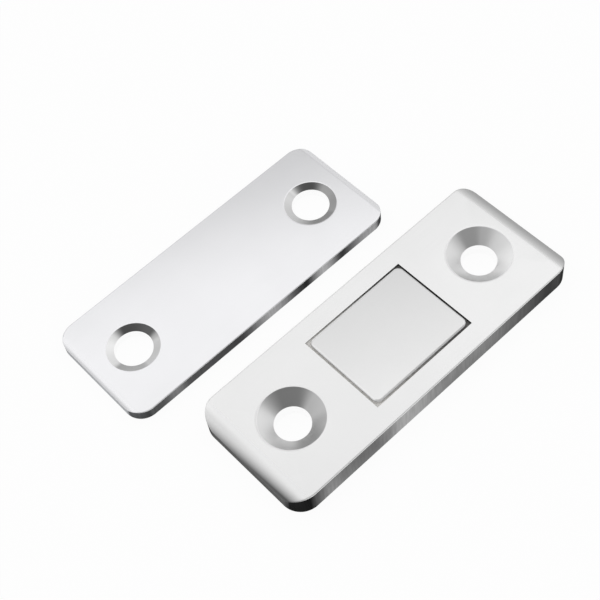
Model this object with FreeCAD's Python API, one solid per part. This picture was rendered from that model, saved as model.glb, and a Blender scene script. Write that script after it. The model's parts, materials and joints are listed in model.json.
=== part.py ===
"""Ultra-thin magnetic catch: a steel plate that carries a block magnet, and the strike plate that it pulls on.

Millimetres, +Z up. The origin is the centre of the catch plate's back. Both plates lie on their backs with
their faces up and their long sides along X, the strike plate behind the catch plate.
"""
import FreeCAD, Part
import math
import os
from FreeCAD import Vector

# Magnet: a plated block with rounded corners, a little proud of the plate's face
magnet_length = 15.5
magnet_width = 12.0
magnet_corner_r = 0.85
magnet_edge_r = 0.3
magnet_proud = 0.25
magnet_recess = 0.2

# Clearance all round the magnet in its window, and the adhesive that fills it to just below the face
magnet_gap = 0.25
bond_below_face = 0.35
bond_above_edge = 0.1

# Catch plate
plate_width = 18.0
plate_thickness = 3.3
plate_corner_r = 2.8
plate_roll_run = 2.2
plate_roll_drop = 1.8
plate_edge_break = 0.15

# Countersunk screw holes of the catch plate, and the land on both sides of each
plate_hole_d = 4.6
plate_head_d = 8.3
plate_head_depth = 1.5
window_land = 3.85
end_land = 3.25

# Strike plate
strike_length = 42.5
strike_width = 16.8
strike_thickness = 1.6
strike_corner_r = 2.5
strike_roll_run = 0.9
strike_roll_drop = 0.4
strike_edge_break = 0.1
strike_hole_d = 5.0
strike_head_d = 6.9
strike_head_depth = 0.4
strike_end_land = 2.65

# How the strike plate lies beside the catch plate
plates_apart = 4.8
strike_shift = -7.5

# A cutter passes the face that it cuts by this much, and edges this close to a height or a side lie on it
overcut = 1.0
tolerance = 1e-4

window_length = magnet_length + 2 * magnet_gap
window_width = magnet_width + 2 * magnet_gap
plate_hole_x = window_length / 2 + window_land + plate_head_d / 2
plate_length = 2 * (plate_hole_x + plate_head_d / 2 + end_land)
strike_hole_x = strike_length / 2 - strike_end_land - strike_head_d / 2
strike_centre = Vector(strike_shift, plate_width / 2 + plates_apart + strike_width / 2, 0)


def rounded_outline(length, width, radius, z):
    """Closed wire of a rectangle with round corners, centred on the origin at height z."""
    x = length / 2
    y = width / 2
    edges = []
    for turn in (0, 90, 180, 270):
        across = x if turn in (0, 180) else y
        along = y if turn in (0, 180) else x
        side_start = Vector(across, -along + radius, z)
        side_end = Vector(across, along - radius, z)
        corner_mid = Vector(across - radius * (1 - math.sqrt(0.5)), along - radius * (1 - math.sqrt(0.5)), z)
        corner_end = Vector(across - radius, along, z)
        side = Part.LineSegment(side_start, side_end).toShape()
        corner = Part.Arc(side_end, corner_mid, corner_end).toShape()
        for edge in (side, corner):
            edge.rotate(Vector(0, 0, 0), Vector(0, 0, 1), turn)
            edges.append(edge)
    return Part.Wire(Part.__sortEdges__(edges))


def prism(wire, direction):
    """Solid swept by a flat closed wire along a straight direction."""
    return Part.Face(wire).extrude(direction)


def quarter_ellipse(start, corner, end):
    """Edge that leaves start towards corner and arrives at end from corner, as a quarter of an ellipse."""
    curve = Part.BezierCurve()
    curve.setPoles([start, corner, end])
    curve.setWeight(2, math.sqrt(0.5))
    return curve.toShape()


def end_roll_cutter(length, width, thickness, run, drop):
    """What the rolled-down end at +X takes off: all that lies above the curve from face to end wall."""
    x = length / 2
    face_end = Vector(x - run, 0, thickness)
    face_corner = Vector(x, 0, thickness)
    wall_top = Vector(x, 0, thickness - drop)
    outside = [
        wall_top,
        Vector(x + overcut, 0, thickness - drop),
        Vector(x + overcut, 0, thickness + overcut),
        Vector(x - run, 0, thickness + overcut),
        face_end,
    ]
    wire = Part.Wire([quarter_ellipse(face_end, face_corner, wall_top)] + Part.makePolygon(outside).Edges)
    cutter = prism(wire, Vector(0, width + 2 * overcut, 0))
    cutter.translate(Vector(0, -width / 2 - overcut, 0))
    return cutter


def countersunk_hole(thickness, hole_d, head_d, head_depth):
    """Cutter of a screw hole on the Z axis, with the cone for the screw's head at the face."""
    profile = Part.makePolygon([
        Vector(0, 0, -overcut),
        Vector(hole_d / 2, 0, -overcut),
        Vector(hole_d / 2, 0, thickness - head_depth),
        Vector(head_d / 2, 0, thickness),
        Vector(head_d / 2, 0, thickness + overcut),
        Vector(0, 0, thickness + overcut),
        Vector(0, 0, -overcut),
    ])
    return Part.Face(profile).revolve(Vector(0, 0, 0), Vector(0, 0, 1), 360)


def level_edges(solid, z):
    """Edges that lie flat at height z."""
    found = []
    for edge in solid.Edges:
        box = edge.BoundBox
        if abs(box.ZMin - z) < tolerance and abs(box.ZMax - z) < tolerance:
            found.append(edge)
    return found


def circles(edges, radius):
    """Those of the edges that are round and have this radius."""
    return [edge for edge in edges
            if isinstance(edge.Curve, Part.Circle) and abs(edge.Curve.Radius - radius) < tolerance]


def drilled_plate(length, width, thickness, corner_r, run, drop, hole, hole_x, head_d, edge_break):
    """Plate with round corners, ends that roll down, two equal screw holes and its face's edges broken."""
    plate = prism(rounded_outline(length, width, corner_r, 0), Vector(0, 0, thickness))
    plate = plate.makeFillet(edge_break, level_edges(plate, thickness))
    roll = end_roll_cutter(length, width, thickness, run, drop)
    opposite_roll = roll.mirror(Vector(0, 0, 0), Vector(1, 0, 0))
    plate = plate.cut([roll, opposite_roll])
    for side in (-1, 1):
        plate = plate.cut(hole.translated(Vector(side * hole_x, 0, 0)))
    head_rims = circles(level_edges(plate, thickness), head_d / 2)
    return plate.makeFillet(edge_break, head_rims)


def make_catch_plate():
    """Catch plate with the sharp-cornered window that the magnet stands in."""
    hole = countersunk_hole(plate_thickness, plate_hole_d, plate_head_d, plate_head_depth)
    plate = drilled_plate(plate_length, plate_width, plate_thickness, plate_corner_r, plate_roll_run,
                          plate_roll_drop, hole, plate_hole_x, plate_head_d, plate_edge_break)
    window = Part.makeBox(window_length, window_width, plate_thickness + 2 * overcut,
                          Vector(-window_length / 2, -window_width / 2, -overcut))
    return plate.cut(window)


def make_magnet():
    """Block magnet: rounded corners in plan, and rounded edges on the face and the back."""
    height = plate_thickness + magnet_proud - magnet_recess
    block = prism(rounded_outline(magnet_length, magnet_width, magnet_corner_r, magnet_recess),
                  Vector(0, 0, height))
    rims = level_edges(block, magnet_recess) + level_edges(block, magnet_recess + height)
    return block.makeFillet(magnet_edge_r, rims)


def make_magnet_bond():
    """Ring of cured adhesive between the window's walls and the flat sides of the magnet."""
    low = magnet_recess + magnet_edge_r + bond_above_edge
    high = plate_thickness - bond_below_face
    outer = Part.makeBox(window_length, window_width, high - low,
                         Vector(-window_length / 2, -window_width / 2, low))
    inner = Part.makeBox(magnet_length, magnet_width, high - low,
                         Vector(-magnet_length / 2, -magnet_width / 2, low))
    return outer.cut(inner)


def make_strike_plate():
    """Plain thinner plate that the magnet pulls on."""
    hole = countersunk_hole(strike_thickness, strike_hole_d, strike_head_d, strike_head_depth)
    plate = drilled_plate(strike_length, strike_width, strike_thickness, strike_corner_r, strike_roll_run,
                          strike_roll_drop, hole, strike_hole_x, strike_head_d, strike_edge_break)
    return plate.translated(strike_centre)


def main():
    os.makedirs("parts", exist_ok=True)
    nodes = {
        "catch_plate": make_catch_plate(),
        "magnet": make_magnet(),
        "magnet_bond": make_magnet_bond(),
        "strike_plate": make_strike_plate(),
    }
    for name, shape in nodes.items():
        shape.exportStep("parts/" + name + ".step")
        print(name, "volume", round(shape.Volume, 1), "valid", shape.isValid(), "solids", len(shape.Solids))


main()
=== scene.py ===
"""Magnetic catch: the finished surfaces of its two plates, its magnet and its adhesive, in a small studio.

Laid out as an add-on. Lengths are in metres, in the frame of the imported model, with +Z up.
"""
import json
import math

import bmesh
import bpy
from bpy.props import FloatProperty, FloatVectorProperty, PointerProperty
from mathutils import Matrix, Quaternion, Vector


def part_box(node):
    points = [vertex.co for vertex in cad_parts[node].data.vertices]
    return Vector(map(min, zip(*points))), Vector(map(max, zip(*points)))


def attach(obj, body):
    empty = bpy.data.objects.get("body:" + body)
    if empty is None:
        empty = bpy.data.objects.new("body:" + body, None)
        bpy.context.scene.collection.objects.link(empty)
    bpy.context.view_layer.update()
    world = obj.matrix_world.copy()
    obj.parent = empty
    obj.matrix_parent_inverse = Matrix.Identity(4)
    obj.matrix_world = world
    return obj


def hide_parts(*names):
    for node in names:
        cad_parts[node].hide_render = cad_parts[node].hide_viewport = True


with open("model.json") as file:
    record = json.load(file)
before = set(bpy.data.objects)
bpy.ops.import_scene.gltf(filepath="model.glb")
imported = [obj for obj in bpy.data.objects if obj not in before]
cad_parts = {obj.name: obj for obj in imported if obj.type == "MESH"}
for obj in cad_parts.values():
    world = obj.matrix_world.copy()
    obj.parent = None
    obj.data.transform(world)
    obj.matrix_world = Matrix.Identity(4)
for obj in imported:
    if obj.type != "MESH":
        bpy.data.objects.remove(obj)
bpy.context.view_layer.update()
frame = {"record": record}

bl_info = {
    "name": "Magnetic Catch",
    "version": (1, 0, 0),
    "blender": (4, 5, 0),
    "location": "3D View > Sidebar > Magnetic Catch",
    "description": "Builds a thin magnetic catch with its strike plate, and a studio to show it in",
    "category": "Object",
}

MM = 0.001
BODY = "root"

# Edges that turn more than this stay crisp, and the rest are shaded smooth
CRISP_ANGLE = math.radians(34)

# How finely round shapes are divided
CORNER_STEPS = 20
ROLL_STEPS = 15
HOLE_STEPS = 96
HEAD_RIM_STEPS = 3
MAGNET_RIM_STEPS = 8

# Steps in which the adhesive's meniscus sinks from the walls, as shares of its creep
MENISCUS_STEPS = (0.3, 0.5)

# Points closer than this are one point
WELD = 1e-7

# Material slots of a plate's mesh, in order
FACE = 0
EDGE = 1
CONE = 2
BORE = 3

# The steepness of a rolled end is the part of its normal along X: 0 on the face, and 1 at the end wall. The
# painted shade on the rolled ends grows with it by these powers, which is late where they are above 1, and
# early where below.
LEFT_SHADE_POWER = 1.6
RIGHT_SHADE_POWER = 0.6

# Steepness from which the painted shade on the rolled end at +X is as dark as it gets
RIGHT_SHADE_FULL = 0.8

# How much rougher than the face the rolled ends get, and the steepness at which that starts and is reached
ROLL_HAZE = 0.3
ROLL_HAZE_FROM = 0.05
ROLL_HAZE_FULL = 0.5

# Painted shade on the sheared side at the round corners: its brightness, and where that is reached: at this
# product of its normal's X and Y, which is 0 on a flat side and 0.5 in the middle of a corner
CORNER_PAINTED_SHADE = 0.22
CORNER_SHADE_FULL = 0.28

# Tint of what the sheared steel mirrors at a grazing angle, a grey that dims it as painted shade
SHEARED_GLANCE = "#959595"

# Noise stays mostly between these two values
NOISE_LOW = 0.3
NOISE_HIGH = 0.7

# Painted shade in the countersinks, in the holes at -X and at +X: direction from +X, how far round from
# there each patch reaches and is full, all in degrees, and the brightness that it leaves
CATCH_CONE_SHADE = (
    ((340, 120, 90, 0.6), (245, 62, 15, 0.75), (60, 57, 23, 0.6)),
    ((30, 75, 45, 0.75), (65, 28, 8, 0.75), (225, 55, 0, 0.6)),
)
STRIKE_CONE_SHADE = (
    ((40, 65, 35, 0.13), (270, 84, 72, 0.7), (225, 45, 27, 0.75)),
    ((55, 45, 0, 0.14), (305, 120, 60, 0.4), (195, 100, 90, 0.8)),
)

# Painted reflections on the long sheared sides: how far from the middle in mm towards +X, how far each patch
# reaches on both sides of there, and how bright it is
CATCH_PAINTED_REFLECTIONS = ((-18.5, 2.5, 0.25), (-16, 8, 0.5), (-6, 8.5, 0.7), (4.5, 18, 0.53), (22, 4, 0.15))
STRIKE_PAINTED_REFLECTIONS = ((-15, 2.3, 0.22), (-14, 18, 0.13), (0.8, 6, 0.6), (9.7, 3.3, 0.88), (19, 7, 0.76))

# Painted light on the plating: how much brighter it is for each mm from the magnet's middle, which is the
# origin, towards +X and towards +Y
PLATING_PAINTED_LIGHT = Vector((-0.005, -0.01, 0.0)) / MM

# Light of the room behind the lights and screens of the studio dome
ROOM_LEVEL = 0.55

# Lights and screens of the dome: direction, how far round from there each reaches and is full in degrees,
# and its level
DOME = (
    ((0.25, 0.93, 0.25), 35, 18, 0.95),
    ((-0.65, 0.45, 0.6), 41.5, 26, 1.05),
    ((0.86, 0.05, 0.51), 42, 31, 0.8),
    ((-0.06, -0.23, 0.97), 52.5, 48, 1.135),
    ((0.055, 0.045, 1.0), 32, 20, 0.9),
    ((-0.9, 0.3, 0.3), 37, 14, 0.8),
    ((-0.3, -0.8, 0.5), 69.5, 49.5, 0.5),
)

# The floor's sides, and how far it lies below the backs of the plates
FLOOR_SIDE = 4.0
FLOOR_DROP = 0.02 * MM

# Width of the camera's sensor in millimetres, and how near and how far it sees
SENSOR = 36.0
NEAR = 10 * MM
FAR = 10.0


def length(name, description, millimetres):
    """Property for a size, with its default given in millimetres."""
    return FloatProperty(name=name, description=description, default=millimetres * MM, min=0.0,
                         subtype="DISTANCE", unit="LENGTH", precision=5)


def share(name, description, value):
    """Property for a number from 0 to 1."""
    return FloatProperty(name=name, description=description, default=value, min=0.0, max=1.0,
                         subtype="FACTOR")


def linear(code):
    """Linear red, green and blue of an sRGB colour code such as #E4E4E2."""
    parts = [int(code[i:i + 2], 16) / 255 for i in (1, 3, 5)]
    return [part / 12.92 if part <= 0.04045 else ((part + 0.055) / 1.055) ** 2.4 for part in parts]


def colour(name, description, code):
    """Property for a colour, with its default given as an sRGB colour code."""
    return FloatVectorProperty(name=name, description=description, default=linear(code), size=3,
                               min=0.0, max=1.0, subtype="COLOR")


def mount(name):
    """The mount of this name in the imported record."""
    return next(entry for entry in frame["record"]["mounts"] if entry["name"] == name)


class CatchPlateSettings(bpy.types.PropertyGroup):
    """Sizes and colours of the catch plate."""
    corner: length("Corner Radius", "Radius of the plate's corners, seen from above", 2.8)
    roll_run: length("Roll Run", "How far from the end the face starts to roll down", 2.2)
    roll_drop: length("Roll Drop", "How far the face comes down at the end", 1.8)
    edge_break: length("Edge Break", "Radius that the tumbling leaves on the edges", 0.15)
    head: length("Head Diameter", "Diameter of the countersink at the face", 8.3)
    head_depth: length("Head Depth", "Depth of the countersink's cone", 1.5)
    face: colour("Face", "Satin polished face", "#F3F3F3")
    haze: share("Haze", "Roughness of the face", 0.25)
    # The foot, start and skew settings of the rolled ends set their painted shade
    left_painted_shade: share("Left Foot", "Brightness of the rolled end's foot at -X, where the face has 1", 0.13)
    left_shade_from: share("Left Start", "Steepness from which the rolled end at -X gets greyer", 0.48)
    shade_skew: share("Skew", "How much more of that end is grey towards -Y, as steepness per millimetre", 0.018)
    right_painted_shade: share("Right Foot", "Brightness of the rolled end's foot at +X, where the face has 1", 0.42)
    right_shade_from: share("Right Start", "Steepness from which the rolled end at +X gets greyer", 0.0)
    # Dark side colour: painted shade; light side colour: painted reflection; end colour: painted shade
    painted_shade: colour("Torn Side", "Sheared long sides where the blade tore the steel", "#404040")
    clean: colour("Clean Side", "Sheared long sides where the blade cut it cleanly", "#D0D0D0")
    end: colour("End", "Sheared ends", "#7C7C7C")
    uneven: share("Unevenness", "How much the sheared edge's patches differ", 0.08)
    cone: colour("Countersink", "Turned cone of the screw holes", "#FAFAFA")
    bore: colour("Bore", "Burnished wall of the screw holes", "#FFFFFF")


class StrikePlateSettings(bpy.types.PropertyGroup):
    """Sizes and colours of the strike plate."""
    corner: length("Corner Radius", "Radius of the plate's corners, seen from above", 2.5)
    roll_run: length("Roll Run", "How far from the end the face starts to roll down", 0.9)
    roll_drop: length("Roll Drop", "How far the face comes down at the end", 0.4)
    edge_break: length("Edge Break", "Radius that the tumbling leaves on the edges", 0.1)
    head: length("Head Diameter", "Diameter of the countersink at the face", 6.9)
    head_depth: length("Head Depth", "Depth of the countersink's cone", 0.4)
    face: colour("Face", "Satin polished face", "#F1F1F3")
    haze: share("Haze", "Roughness of the face", 0.16)
    # The foot, start and skew settings of the rolled ends set their painted shade
    left_painted_shade: share("Left Foot", "Brightness of the rolled end's foot at -X, where the face has 1", 0.8)
    left_shade_from: share("Left Start", "Steepness from which the rolled end at -X gets greyer", 0.1)
    shade_skew: share("Skew", "How much more of that end is grey towards -Y, as steepness per millimetre", 0.0)
    right_painted_shade: share("Right Foot", "Brightness of the rolled end's foot at +X, where the face has 1", 0.97)
    right_shade_from: share("Right Start", "Steepness from which the rolled end at +X gets greyer", 0.0)
    # Dark side colour: painted shade; light side colour: painted reflection
    painted_shade: colour("Torn Side", "Sheared long sides where the blade tore the steel", "#3C3C3D")
    clean: colour("Clean Side", "Sheared long sides where the blade cut it cleanly", "#D0D0D1")
    end: colour("End", "Polished ends", "#D8DADD")
    uneven: share("Unevenness", "How much the sheared edge's patches differ", 0.1)
    cone: colour("Countersink", "Turned cone of the screw holes", "#F5F5F5")
    bore: colour("Bore", "Burnished wall of the screw holes", "#FFFFFF")


class MagnetSettings(bpy.types.PropertyGroup):
    """Sizes and colours of the magnet."""
    corner: length("Corner Radius", "Radius of the block's upright edges", 0.85)
    rim: length("Rim Radius", "Radius of the block's upper and lower edges", 0.3)
    plating: colour("Plating", "Satin nickel plating", "#EDEDED")


class AdhesiveSettings(bpy.types.PropertyGroup):
    """Sizes and colours of the cured adhesive round the magnet."""
    creep: length("Creep", "How far the adhesive crept up the walls before it cured", 0.08)
    heap: length("Heap", "How much higher the adhesive stands at -X than at +X", 0.2)
    # Resin colour: painted light at -X, darkened towards +X by painted shade
    resin: colour("Resin", "Cured resin at -X, where polishing dust has whitened it", "#F2F0EC")
    clean: share("Clean", "Brightness of the cured resin at +X, where it is free of dust", 0.2)


class StageSettings(bpy.types.PropertyGroup):
    """Camera, light and floor."""
    azimuth: FloatProperty(name="Azimuth", description="Camera's turn about the object",
                           default=math.radians(-34.47), subtype="ANGLE", unit="ROTATION")
    elevation: FloatProperty(name="Elevation", description="Camera's height above the horizon",
                             default=math.radians(57.23), subtype="ANGLE", unit="ROTATION")
    roll: FloatProperty(name="Roll", description="Camera's turn about its own line of sight",
                        default=math.radians(-10.03), subtype="ANGLE", unit="ROTATION")
    distance: length("Distance", "From the camera to the point of the floor that it looks at", 165.4)
    aim_x: FloatProperty(name="Aim X", description="Point of the floor that the camera looks at",
                         default=-2.975 * MM, subtype="DISTANCE", unit="LENGTH")
    aim_y: FloatProperty(name="Aim Y", description="Point of the floor that the camera looks at",
                         default=13.0 * MM, subtype="DISTANCE", unit="LENGTH")
    lens: FloatProperty(name="Lens", description="Focal length in millimetres, on a sensor 36 mm wide",
                        default=78.28, min=1.0)
    floor: colour("Floor", "Matt white floor", "#FFFFFF")
    white: share("White Share", "How much of the floor the camera and the metal see as plain white", 0.95)
    dome: FloatProperty(name="Dome Level", description="Strength of the whole light", default=1.0, min=0.0)


def add(tree, kind, inputs=None, **settings):
    """Add a node to a tree. Inputs are values or sockets by name or number, and settings the node's own."""
    node = tree.nodes.new("ShaderNode" + kind)
    for name, value in settings.items():
        setattr(node, name, value)
    for name, value in (inputs or {}).items():
        if isinstance(value, bpy.types.NodeSocket):
            tree.links.new(value, node.inputs[name])
        else:
            node.inputs[name].default_value = value
    return node


def ramp(tree, value, start, end, low=0.0, high=1.0, **settings):
    """Value that goes from low to high as another one goes from start to end, and stays level beyond them."""
    spans = {"Value": value, "From Min": start, "From Max": end, "To Min": low, "To Max": high}
    return add(tree, "MapRange", spans, **settings).outputs[0]


def calculate(tree, operation, *values):
    """Result of one of a Math node's operations on up to three values."""
    return add(tree, "Math", dict(enumerate(values)), operation=operation).outputs[0]


def blend(tree, cover, below, above):
    """Value below where the cover is 0, and above where it is 1."""
    return add(tree, "Mix", {0: cover, 2: below, 3: above}, data_type="FLOAT").outputs[0]


def blend_colours(tree, cover, below, above):
    """Colour below where the cover is 0, and above where it is 1."""
    return add(tree, "Mix", {0: cover, 6: below, 7: above}, data_type="RGBA").outputs[2]


def toned(tree, rgb, tone):
    """Colour made darker or lighter by a tone."""
    return add(tree, "VectorMath", {0: rgb, "Scale": tone}, operation="SCALE").outputs[0]


def blotches(tree, place, across, detail):
    """Noise with blotches of about this size."""
    return add(tree, "TexNoise", {"Vector": place, "Scale": 1 / across, "Detail": detail}).outputs[0]


def streaks(tree, place, sizes):
    """Noise with streaks of about these sizes along X, Y and Z."""
    stretched = add(tree, "Mapping", {"Vector": place, "Scale": [1 / size for size in sizes]})
    return blotches(tree, stretched.outputs[0], 1.0, 3.0)


def vary(tree, noise, low, high):
    """Value that noise takes from low to high."""
    return ramp(tree, noise, NOISE_LOW, NOISE_HIGH, low, high)


def wave_scale(apart):
    """Scale of a wave texture whose waves are this far apart: the texture counts 20 radians for each unit."""
    return math.tau / (20 * apart)


def patch_round(tree, direction, toward, reach, full):
    """Cover of a soft patch of directions: 1 within full degrees of toward, and 0 beyond reach degrees."""
    near = add(tree, "VectorMath", {0: direction, 1: toward}, operation="DOT_PRODUCT").outputs["Value"]
    return ramp(tree, near, math.cos(math.radians(reach)), math.cos(math.radians(full)),
                interpolation_type="SMOOTHSTEP")


def new_material(name, metallic):
    """Empty material with its node tree and its Principled shader, which is joined to the output."""
    material = bpy.data.materials.new(name)
    material.use_nodes = True
    tree = material.node_tree
    shader = tree.nodes["Principled BSDF"]
    shader.inputs["Metallic"].default_value = metallic
    return material, tree, shader


def with_alpha(rgb):
    """Colour as a node's socket takes it."""
    return (*rgb, 1.0)


def painted_roll_shade(tree, lean, start, end, power, foot):
    """Painted shade down a rolled end: brightness 1 where the lean is start, and foot where it is end."""
    down = calculate(tree, "POWER", ramp(tree, lean, start, end), power)
    return ramp(tree, down, 0.0, 1.0, 1.0, foot)


def satin_stainless(name, look, middle):
    """Stainless steel, satin polished on a wheel: a soft even sheen with faint clouds and lengthwise strokes.

    The rolled ends get rougher as they steepen, and their colour is darkened with painted shade as they
    steepen.
    """
    material, tree, steel = new_material(name, 1.0)
    coordinates = add(tree, "TexCoord").outputs
    place = coordinates["Object"]
    clouds = blotches(tree, place, 7 * MM, 2.0)
    # Real strokes are about 0.05 mm apart, and are drawn at 0.15 mm so that they show
    strokes = streaks(tree, place, (9 * MM, 0.15 * MM, 0.15 * MM))
    lean = add(tree, "SeparateXYZ", {0: coordinates["Normal"]}).outputs["X"]
    from_middle = add(tree, "VectorMath", {0: place, 1: middle}, operation="SUBTRACT").outputs[0]
    across = add(tree, "SeparateXYZ", {0: from_middle}).outputs["Y"]
    skewed = calculate(tree, "MULTIPLY_ADD", across, look.shade_skew / MM, lean)
    # Painted shade down the rolled ends, reaching further towards -Y at -X
    left = painted_roll_shade(tree, skewed, -look.left_shade_from, -1.0, LEFT_SHADE_POWER, look.left_painted_shade)
    right = painted_roll_shade(tree, lean, look.right_shade_from, RIGHT_SHADE_FULL, RIGHT_SHADE_POWER, look.right_painted_shade)
    tone = calculate(tree, "MULTIPLY", left, right)
    tone = calculate(tree, "MULTIPLY", tone, vary(tree, clouds, 0.975, 1.0))
    steepness = calculate(tree, "ABSOLUTE", lean)
    roll_haze = ramp(tree, steepness, ROLL_HAZE_FROM, ROLL_HAZE_FULL, 0.0, ROLL_HAZE)
    sheen = calculate(tree, "ADD", vary(tree, strokes, look.haze * 0.95, look.haze * 1.05), roll_haze)
    bump = add(tree, "Bump", {"Height": strokes, "Strength": 0.02, "Distance": 0.01 * MM})
    tree.links.new(toned(tree, look.face, tone), steel.inputs["Base Color"])
    tree.links.new(sheen, steel.inputs["Roughness"])
    tree.links.new(bump.outputs[0], steel.inputs["Normal"])
    return material


def painted_reflection_cover(tree, along, middle, painted_reflections):
    """Cover of the painted reflections on a plate's long sides: 0 where the painted shade stays, and 1 at
    full.
    """
    total = 0.0
    for centre, reach, clean in painted_reflections:
        off = calculate(tree, "ABSOLUTE", calculate(tree, "SUBTRACT", along, middle.x + centre * MM))
        patch = ramp(tree, off, 0.0, reach * MM, clean, 0.0, interpolation_type="SMOOTHSTEP")
        total = calculate(tree, "ADD", total, patch)
    return total


def sheared_steel(name, look, middle, painted_reflections):
    """Stainless steel as the shear left it: dull, with upright drag lines, and dark with painted shade.

    The long sides carry lighter patches of painted reflection, the ends have a colour of their own, and the
    round corners get more painted shade.
    """
    material, tree, steel = new_material(name, 1.0)
    coordinates = add(tree, "TexCoord").outputs
    place = coordinates["Object"]
    patches = blotches(tree, place, 6 * MM, 1.0)
    # Real drag lines are about 0.1 mm apart, and are drawn at 0.3 mm so that they show
    drag = streaks(tree, place, (0.3 * MM, 0.3 * MM, 5 * MM))
    patch_tone = ramp(tree, patches, 0.35, 0.65, 1.0 - look.uneven, 1.0 + look.uneven * 1.5)
    facing = add(tree, "SeparateXYZ", {0: coordinates["Normal"]}).outputs
    diagonal = calculate(tree, "ABSOLUTE", calculate(tree, "MULTIPLY", facing["X"], facing["Y"]))
    # Painted shade at the round corners
    corner_shade = ramp(tree, diagonal, 0.0, CORNER_SHADE_FULL, 1.0, CORNER_PAINTED_SHADE)
    tone = calculate(tree, "MULTIPLY", patch_tone, vary(tree, drag, 0.88, 1.12))
    tone = calculate(tree, "MULTIPLY", tone, corner_shade)
    along = add(tree, "SeparateXYZ", {0: place}).outputs["X"]
    # Lighter patches of painted reflection on the long sides
    clean = painted_reflection_cover(tree, along, middle, painted_reflections)
    side = blend_colours(tree, clean, with_alpha(look.painted_shade), with_alpha(look.clean))
    cut = blend_colours(tree, calculate(tree, "ABSOLUTE", facing["X"]), side, with_alpha(look.end))
    bump = add(tree, "Bump", {"Height": drag, "Strength": 0.25, "Distance": 0.02 * MM})
    steel.inputs["Roughness"].default_value = 0.45
    # Grey grazing tint that dims the sides' reflection, as painted shade
    steel.inputs["Specular Tint"].default_value = with_alpha(linear(SHEARED_GLANCE))
    tree.links.new(toned(tree, cut, tone), steel.inputs["Base Color"])
    tree.links.new(bump.outputs[0], steel.inputs["Normal"])
    return material


def cone_shade_tone(tree, outward, patches):
    """Painted shade round one countersink: the brightness, which is lower in the shaded patches."""
    tone = 1.0
    for direction, reach, full, brightness in patches:
        angle = math.radians(direction)
        cover = patch_round(tree, outward, Vector((math.cos(angle), math.sin(angle), 0.0)), reach, full)
        tone = calculate(tree, "MULTIPLY", blend(tree, cover, 1.0, brightness), tone)
    return tone


def turned_steel(name, look, screws, cone_shade):
    """Stainless steel cut by a countersink drill: bright, with fine rings about each hole's axis.

    Patches round each cone are painted darker, as painted shade.
    """
    material, tree, steel = new_material(name, 1.0)
    place = add(tree, "TexCoord").outputs["Object"]
    from_middle = add(tree, "VectorMath", {0: place, 1: screws["pos_m"]}, operation="SUBTRACT").outputs[0]
    offset = add(tree, "SeparateXYZ", {0: from_middle}).outputs
    side = calculate(tree, "SIGN", offset["X"])
    axis = calculate(tree, "MULTIPLY", side, screws["dims"]["spacing_x_mm"] * MM / 2)
    across = calculate(tree, "SUBTRACT", offset["X"], axis)
    from_axis = add(tree, "CombineXYZ", {"X": across, "Y": offset["Y"]}).outputs[0]
    outward = add(tree, "VectorMath", {0: from_axis}, operation="NORMALIZE").outputs[0]
    # Painted shade in patches round each countersink
    left_cone_shade, right_cone_shade = [cone_shade_tone(tree, outward, patches) for patches in cone_shade]
    painted_cone_shade = blend(tree, calculate(tree, "GREATER_THAN", side, 0.0), left_cone_shade, right_cone_shade)
    # Real rings are about 0.05 mm apart, and are drawn at 0.16 mm so that they show
    rings = add(tree, "TexWave", {"Vector": from_axis, "Scale": wave_scale(0.16 * MM), "Distortion": 1.2,
                                  "Detail": 2.0}, wave_type="RINGS", rings_direction="Z").outputs["Fac"]
    tone = calculate(tree, "MULTIPLY", ramp(tree, rings, 0.0, 1.0, 0.96, 1.0), painted_cone_shade)
    bump = add(tree, "Bump", {"Height": rings, "Strength": 0.08, "Distance": 0.01 * MM})
    steel.inputs["Roughness"].default_value = 0.35
    tree.links.new(toned(tree, look.cone, tone), steel.inputs["Base Color"])
    tree.links.new(bump.outputs[0], steel.inputs["Normal"])
    return material


def burnished_steel(name, look):
    """Stainless steel rubbed bright by the drill's land: nearly a mirror, with faint rings down the bore."""
    material, tree, steel = new_material(name, 1.0)
    place = add(tree, "TexCoord").outputs["Object"]
    # Real feed marks are about 0.05 mm apart, and are drawn at 0.15 mm so that they show
    marks = add(tree, "TexWave", {"Vector": place, "Scale": wave_scale(0.15 * MM), "Distortion": 0.5},
                wave_type="BANDS", bands_direction="Z").outputs["Fac"]
    tone = ramp(tree, marks, 0.0, 1.0, 0.98, 1.0)
    steel.inputs["Roughness"].default_value = 0.12
    tree.links.new(toned(tree, look.bore, tone), steel.inputs["Base Color"])
    return material


def nickel_plating(name, look):
    """Satin nickel on a sintered magnet: grey and a little milky, with the fine pits of the block below it.

    It is painted a little lighter towards -X and -Y, as painted light.
    """
    material, tree, nickel = new_material(name, 1.0)
    place = add(tree, "TexCoord").outputs["Object"]
    haze = blotches(tree, place, 5 * MM, 3.0)
    pits = blotches(tree, place, 0.25 * MM, 2.0)
    haze_tone = vary(tree, haze, 0.96, 1.0)
    # Painted light: lighter towards -X and -Y
    painted_gradient = add(tree, "VectorMath", {0: place, 1: PLATING_PAINTED_LIGHT}, operation="DOT_PRODUCT").outputs["Value"]
    tone = calculate(tree, "MULTIPLY_ADD", haze_tone, painted_gradient, haze_tone)
    bump = add(tree, "Bump", {"Height": pits, "Strength": 0.04, "Distance": 0.01 * MM})
    tree.links.new(toned(tree, look.plating, tone), nickel.inputs["Base Color"])
    tree.links.new(vary(tree, haze, 0.28, 0.33), nickel.inputs["Roughness"])
    tree.links.new(bump.outputs[0], nickel.inputs["Normal"])
    return material


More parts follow.
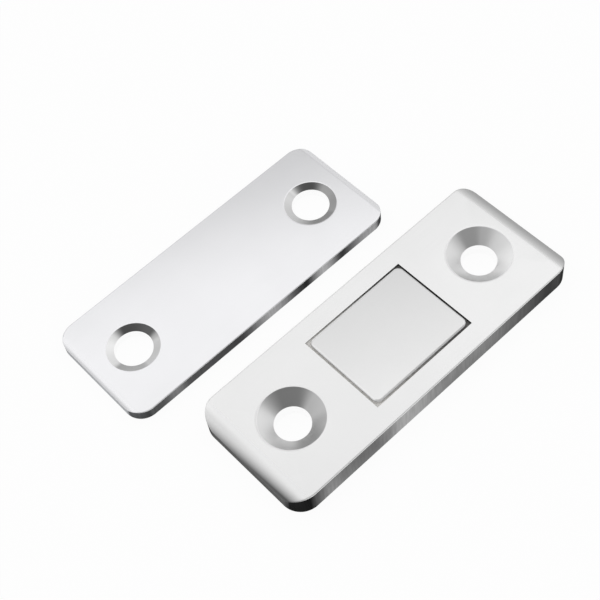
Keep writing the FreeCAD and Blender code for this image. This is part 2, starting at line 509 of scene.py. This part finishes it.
def cured_resin(name, look, half_length):
    """Cured epoxy, half glossy and slightly uneven, with painted light at -X and painted shade at +X."""
    material, tree, resin = new_material(name, 0.0)
    place = add(tree, "TexCoord").outputs["Object"]
    grain = blotches(tree, place, 0.6 * MM, 2.0)
    along = add(tree, "SeparateXYZ", {0: place}).outputs["X"]
    # Painted light at -X and painted shade towards +X
    painted_light_and_shade = ramp(tree, along, -half_length, half_length, 1.0, look.clean)
    tone = calculate(tree, "MULTIPLY", vary(tree, grain, 0.8, 1.0), painted_light_and_shade)
    tree.links.new(toned(tree, look.resin, tone), resin.inputs["Base Color"])
    tree.links.new(ramp(tree, grain, 0.0, 1.0, 0.3, 0.5), resin.inputs["Roughness"])
    return material


def plate_finishes(plate, look, middle, screws, painted_reflections, cone_shade):
    """The four finishes of a plate's steel, in the order of its material slots."""
    return [
        satin_stainless("satin_stainless_" + plate, look, middle),
        sheared_steel("sheared_stainless_" + plate, look, middle, painted_reflections),
        turned_steel("turned_stainless_" + plate, look, screws, cone_shade),
        burnished_steel("burnished_stainless_" + plate, look),
    ]


def white_floor(name, look):
    """Matt white board, on which the object keeps a faint shadow.

    The camera and the metal see most of it as plain white.
    """
    material, tree, board = new_material(name, 0.0)
    board.inputs["Base Color"].default_value = with_alpha(look.floor)
    board.inputs["Roughness"].default_value = 0.9
    board.inputs["Specular IOR Level"].default_value = 0.0
    rays = add(tree, "LightPath").outputs
    seen = calculate(tree, "MAXIMUM", rays["Is Camera Ray"], rays["Is Glossy Ray"])
    seen = calculate(tree, "MAXIMUM", seen, rays["Is Transmission Ray"])
    cover = calculate(tree, "MULTIPLY", seen, look.white)
    glow = add(tree, "Emission", {"Color": with_alpha(linear("#FFFFFF")), "Strength": 1.0})
    both = add(tree, "MixShader", {0: cover, 1: board.outputs[0], 2: glow.outputs[0]})
    tree.links.new(both.outputs[0], tree.nodes["Material Output"].inputs["Surface"])
    return material


def only(kind, parts):
    """Those of a mesh's parts that are of one kind: its vertices, edges or faces."""
    return [part for part in parts if isinstance(part, kind)]


def square(bm, x_size, y_size, z):
    """Flat rectangle about the Z axis, and its one face."""
    made = bmesh.ops.create_grid(bm, x_segments=1, y_segments=1, size=0.5)
    bmesh.ops.scale(bm, vec=(x_size, y_size, 1.0), verts=made["verts"])
    bmesh.ops.translate(bm, vec=(0.0, 0.0, z), verts=made["verts"])
    return made["verts"][0].link_faces[0]


def round_corners(bm, face, radius):
    """Round the corners of a rectangle, seen from above, and return its face again."""
    made = bmesh.ops.bevel(bm, geom=list(face.verts), offset=radius, offset_type="OFFSET", affect="VERTICES",
                           segments=CORNER_STEPS, profile=0.5, material=-1)
    return made["verts"][0].link_faces[0]


def extrude_edges(bm, edges, scale, centre, drop, slot=0):
    """Pull a loop of edges down and in or out about a centre. Returns the new loop."""
    made = bmesh.ops.extrude_edge_only(bm, edges=edges)["geom"]
    verts = only(bmesh.types.BMVert, made)
    for face in only(bmesh.types.BMFace, made):
        face.material_index = slot
    bmesh.ops.scale(bm, vec=(scale, scale, 1.0), verts=verts, space=Matrix.Translation(-centre))
    bmesh.ops.translate(bm, vec=(0.0, 0.0, -drop), verts=verts)
    return [edge for edge in only(bmesh.types.BMEdge, made) if set(edge.verts) <= set(verts)]


def fill_between(bm, edges, up):
    """Close the flat area between an outline and the loops inside it, which stay open."""
    made = bmesh.ops.triangle_fill(bm, use_beauty=True, edges=edges, normal=(0.0, 0.0, up))["geom"]
    return only(bmesh.types.BMFace, made)


def open_face(bm, face):
    """Delete a face and keep its edges, which are returned."""
    edges = list(face.edges)
    bmesh.ops.delete(bm, geom=[face], context="FACES_ONLY")
    return edges


def finish_piece(bm, name, place, materials, node):
    """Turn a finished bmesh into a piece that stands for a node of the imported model."""
    bmesh.ops.remove_doubles(bm, verts=bm.verts, dist=WELD)
    bmesh.ops.recalc_face_normals(bm, faces=bm.faces)
    bmesh.ops.translate(bm, vec=place, verts=bm.verts)
    for face in bm.faces:
        face.smooth = True
    for edge in bm.edges:
        edge.smooth = edge.calc_face_angle(0.0) < CRISP_ANGLE
    mesh = bpy.data.meshes.new(name)
    bm.to_mesh(mesh)
    bm.free()
    for material in materials:
        mesh.materials.append(material)
    piece = bpy.data.objects.new(name, mesh)
    bpy.context.scene.collection.objects.link(piece)
    normals = piece.modifiers.new("Flat faces stay flat", "WEIGHTED_NORMAL")
    normals.keep_sharp = True
    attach(piece, BODY)
    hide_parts(node)


def rolled_height(look, half_length, thickness, x, inset):
    """Height of a plate's upper side: rolled down at the ends, with its rim broken where that is upright."""
    into_roll = max(0.0, abs(x) - (half_length - look.roll_run)) / look.roll_run
    drop = look.roll_drop * (1 - math.sqrt(max(0.0, 1 - into_roll ** 2)))
    round_corner = max(0.0, abs(x) - (half_length - look.corner)) / look.corner
    left = max(0.0, look.edge_break - inset)
    broken = look.edge_break - math.sqrt(look.edge_break ** 2 - left ** 2)
    return thickness - drop - broken * (1 - round_corner ** 2)


def rolled_rim(bm, face, look, half_length, thickness):
    """Work inwards from a plate's outline, in loops that follow the rolled ends, to where it is flat."""
    inset = 0.0
    for step in range(1, ROLL_STEPS + 1):
        for vert in face.verts:
            vert.co.z = rolled_height(look, half_length, thickness, vert.co.x, inset)
        reach = look.roll_run * (1 - math.cos(math.pi / 2 * step / ROLL_STEPS))
        bmesh.ops.inset_region(bm, faces=[face], thickness=reach - inset, use_even_offset=True)
        inset = reach
    for vert in face.verts:
        vert.co.z = thickness


def countersunk_hole(bm, x, thickness, hole, look):
    """Cone and bore of one screw hole. Returns its loop in the flat face and its loop in the back."""
    centre = Vector((x, 0.0, 0.0))
    head = look.head / 2
    cone_slope = math.atan2(look.head_depth, head - hole)
    # A narrow ring of flat face round the rim lets its bevel end on the flat
    margin = head + 2 * look.edge_break
    made = bmesh.ops.create_circle(bm, cap_ends=False, radius=margin, segments=HOLE_STEPS,
                                   matrix=Matrix.Translation((x, 0.0, thickness)))
    outer = list({edge for vert in made["verts"] for edge in vert.link_edges})
    rim = extrude_edges(bm, outer, head / margin, centre, 0.0, FACE)
    neck = extrude_edges(bm, rim, hole / head, centre, look.head_depth, CONE)
    back = extrude_edges(bm, neck, 1.0, centre, thickness - look.head_depth, BORE)
    bmesh.ops.bevel(bm, geom=rim, offset=look.edge_break * math.tan(cone_slope / 2), offset_type="OFFSET",
                    affect="EDGES", segments=HEAD_RIM_STEPS, profile=0.5, material=-1)
    return outer, back


def window(bm, x_size, y_size, thickness):
    """Sheared opening for the magnet. Returns its loop in the flat face and its loop in the back."""
    rim = open_face(bm, square(bm, x_size, y_size, thickness))
    back = extrude_edges(bm, rim, 1.0, Vector(), thickness, EDGE)
    return rim, back


def build_plate(bm, look, size, screws, opening=None):
    """Model a plate about the Z axis: round corners, rolled ends, two countersunk holes and any window."""
    face = round_corners(bm, square(bm, size.x, size.y, size.z), look.corner)
    back_loops = extrude_edges(bm, list(face.edges), 1.0, Vector(), size.z, EDGE)
    rolled_rim(bm, face, look, size.x / 2, size.z)
    flat_loops = open_face(bm, face)
    half_spacing = screws["spacing_x_mm"] * MM / 2
    hole = screws["hole_r_mm"] * MM
    holes = [countersunk_hole(bm, side * half_spacing, size.z, hole, look) for side in (-1, 1)]
    if opening:
        holes.append(window(bm, opening.x, opening.y, size.z))
    for outer, foot in holes:
        flat_loops += outer
        back_loops += foot
    fill_between(bm, flat_loops, 1.0)
    fill_between(bm, back_loops, -1.0)


def box_of(node):
    """Centre of a node's foot and the node's size."""
    low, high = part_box(node)
    return Vector(((low.x + high.x) / 2, (low.y + high.y) / 2, low.z)), high - low


class MAGCATCH_OT_catch_plate(bpy.types.Operator):
    """Build the catch plate with the window for its magnet"""
    bl_idname = "magcatch.catch_plate"
    bl_label = "Catch Plate"

    def execute(self, context):
        look = context.scene.magcatch_catch
        screws = mount("catch_screws")
        place, size = box_of("catch_plate")
        bm = bmesh.new()
        build_plate(bm, look, size, screws["dims"], box_of("magnet_bond")[1])
        finishes = plate_finishes("catch", look, place, screws, CATCH_PAINTED_REFLECTIONS, CATCH_CONE_SHADE)
        finish_piece(bm, "catch_plate_satin", place, finishes, "catch_plate")
        return {"FINISHED"}


class MAGCATCH_OT_strike_plate(bpy.types.Operator):
    """Build the strike plate that the magnet pulls on"""
    bl_idname = "magcatch.strike_plate"
    bl_label = "Strike Plate"

    def execute(self, context):
        look = context.scene.magcatch_strike
        screws = mount("strike_screws")
        place, size = box_of("strike_plate")
        bm = bmesh.new()
        build_plate(bm, look, size, screws["dims"])
        finishes = plate_finishes("strike", look, place, screws, STRIKE_PAINTED_REFLECTIONS, STRIKE_CONE_SHADE)
        finish_piece(bm, "strike_plate_satin", place, finishes, "strike_plate")
        return {"FINISHED"}


class MAGCATCH_OT_magnet(bpy.types.Operator):
    """Build the plated block magnet"""
    bl_idname = "magcatch.magnet"
    bl_label = "Magnet"

    def execute(self, context):
        look = context.scene.magcatch_magnet
        place, size = box_of("magnet")
        bm = bmesh.new()
        back = round_corners(bm, square(bm, size.x, size.y, 0.0), look.corner)
        made = bmesh.ops.extrude_face_region(bm, geom=[back])["geom"]
        bmesh.ops.translate(bm, vec=(0.0, 0.0, size.z), verts=only(bmesh.types.BMVert, made))
        rims = [edge for edge in bm.edges if edge.verts[0].co.z == edge.verts[1].co.z]
        bmesh.ops.bevel(bm, geom=rims, offset=look.rim, offset_type="OFFSET", affect="EDGES",
                        segments=MAGNET_RIM_STEPS, profile=0.5, material=-1)
        finishes = [nickel_plating("satin_nickel", look)]
        finish_piece(bm, "magnet_plated", place, finishes, "magnet")
        return {"FINISHED"}


class MAGCATCH_OT_adhesive(bpy.types.Operator):
    """Build the cured adhesive that holds the magnet in its window"""
    bl_idname = "magcatch.adhesive"
    bl_label = "Adhesive"

    def execute(self, context):
        look = context.scene.magcatch_adhesive
        place, size = box_of("magnet_bond")
        magnet_size = box_of("magnet")[1]
        bm = bmesh.new()
        outer = open_face(bm, square(bm, size.x, size.y, size.z))
        inner = open_face(bm, round_corners(bm, square(bm, magnet_size.x, magnet_size.y, size.z),
                                            context.scene.magcatch_magnet.corner))
        top = fill_between(bm, outer + inner, 1.0)
        for loop in (outer, inner):
            extrude_edges(bm, loop, 1.0, Vector(), size.z)
        fill_between(bm, [edge for edge in bm.edges if edge.is_boundary], -1.0)
        for step in MENISCUS_STEPS:
            bmesh.ops.inset_region(bm, faces=top, thickness=look.creep * step, depth=-look.creep * step,
                                   use_even_offset=True)
        for vert in bm.verts:
            if vert.co.z > size.z / 2:
                vert.co.z += look.heap * (0.5 - vert.co.x / size.x)
        finishes = [cured_resin("cured_resin", look, size.x / 2)]
        finish_piece(bm, "adhesive_cured", place, finishes, "magnet_bond")
        return {"FINISHED"}


class MAGCATCH_OT_stage(bpy.types.Operator):
    """Build the floor, the light and the camera"""
    bl_idname = "magcatch.stage"
    bl_label = "Stage"

    def execute(self, context):
        stage = context.scene.magcatch_stage
        self.floor(context, stage)
        self.light(context, stage)
        self.camera(context, stage)
        context.scene.view_settings.view_transform = "Standard"
        return {"FINISHED"}

    def floor(self, context, stage):
        """White floor just below the backs of the plates."""
        bm = bmesh.new()
        square(bm, FLOOR_SIDE, FLOOR_SIDE, -FLOOR_DROP)
        mesh = bpy.data.meshes.new("floor")
        bm.to_mesh(mesh)
        bm.free()
        mesh.materials.append(white_floor("matt_white_board", stage))
        floor = bpy.data.objects.new("floor", mesh)
        context.scene.collection.objects.link(floor)

    def light(self, context, stage):
        """Soft studio dome, painted from back to front: each light or screen lies over those before it."""
        world = bpy.data.worlds.new("studio_dome")
        world.use_nodes = True
        tree = world.node_tree
        direction = add(tree, "TexCoord").outputs["Generated"]
        level = ROOM_LEVEL
        for toward, reach, full, strength in DOME:
            cover = patch_round(tree, direction, Vector(toward).normalized(), reach, full)
            level = blend(tree, cover, level, strength)
        background = tree.nodes["Background"]
        tree.links.new(level, background.inputs["Color"])
        background.inputs["Strength"].default_value = stage.dome
        context.scene.world = world

    def camera(self, context, stage):
        """Camera that looks down on the plates from the near left."""
        out = Vector((math.sin(stage.azimuth) * math.cos(stage.elevation),
                      -math.cos(stage.azimuth) * math.cos(stage.elevation), math.sin(stage.elevation)))
        data = bpy.data.cameras.new("camera")
        data.sensor_width = SENSOR
        data.lens = stage.lens
        data.clip_start = NEAR
        data.clip_end = FAR
        camera = bpy.data.objects.new("camera", data)
        camera.location = Vector((stage.aim_x, stage.aim_y, 0.0)) + out * stage.distance
        camera.rotation_mode = "QUATERNION"
        camera.rotation_quaternion = (-out).to_track_quat("-Z", "Y") @ Quaternion((0.0, 0.0, 1.0), stage.roll)
        context.scene.collection.objects.link(camera)
        context.scene.camera = camera


class MAGCATCH_PT_panel(bpy.types.Panel):
    """Lists the pieces with their sizes and colours"""
    bl_idname = "MAGCATCH_PT_panel"
    bl_label = "Magnetic Catch"
    bl_space_type = "VIEW_3D"
    bl_region_type = "UI"
    bl_category = "Magnetic Catch"

    def draw(self, context):
        for name, operator in PIECES.items():
            box = self.layout.box()
            box.operator(operator.bl_idname)
            settings = getattr(context.scene, "magcatch_" + name, None)
            for setting in getattr(settings, "__annotations__", {}):
                box.prop(settings, setting)


SETTINGS = {
    "catch": CatchPlateSettings,
    "strike": StrikePlateSettings,
    "magnet": MagnetSettings,
    "adhesive": AdhesiveSettings,
    "stage": StageSettings,
}
PIECES = {
    "catch": MAGCATCH_OT_catch_plate,
    "strike": MAGCATCH_OT_strike_plate,
    "magnet": MAGCATCH_OT_magnet,
    "adhesive": MAGCATCH_OT_adhesive,
    "stage": MAGCATCH_OT_stage,
}


def register():
    """Add the settings, the operators and the panel to Blender."""
    for name, group in SETTINGS.items():
        bpy.utils.register_class(group)
        setattr(bpy.types.Scene, "magcatch_" + name, PointerProperty(type=group))
    for operator in PIECES.values():
        bpy.utils.register_class(operator)
    bpy.utils.register_class(MAGCATCH_PT_panel)


def unregister():
    """Take the panel, the operators and the settings out of Blender again."""
    bpy.utils.unregister_class(MAGCATCH_PT_panel)
    for operator in reversed(PIECES.values()):
        bpy.utils.unregister_class(operator)
    for name, group in SETTINGS.items():
        delattr(bpy.types.Scene, "magcatch_" + name)
        bpy.utils.unregister_class(group)


def main():
    """Build every piece and the stage."""
    register()
    bpy.ops.magcatch.catch_plate()
    bpy.ops.magcatch.strike_plate()
    bpy.ops.magcatch.magnet()
    bpy.ops.magcatch.adhesive()
    bpy.ops.magcatch.stage()


if __name__ == "__main__":
    main()
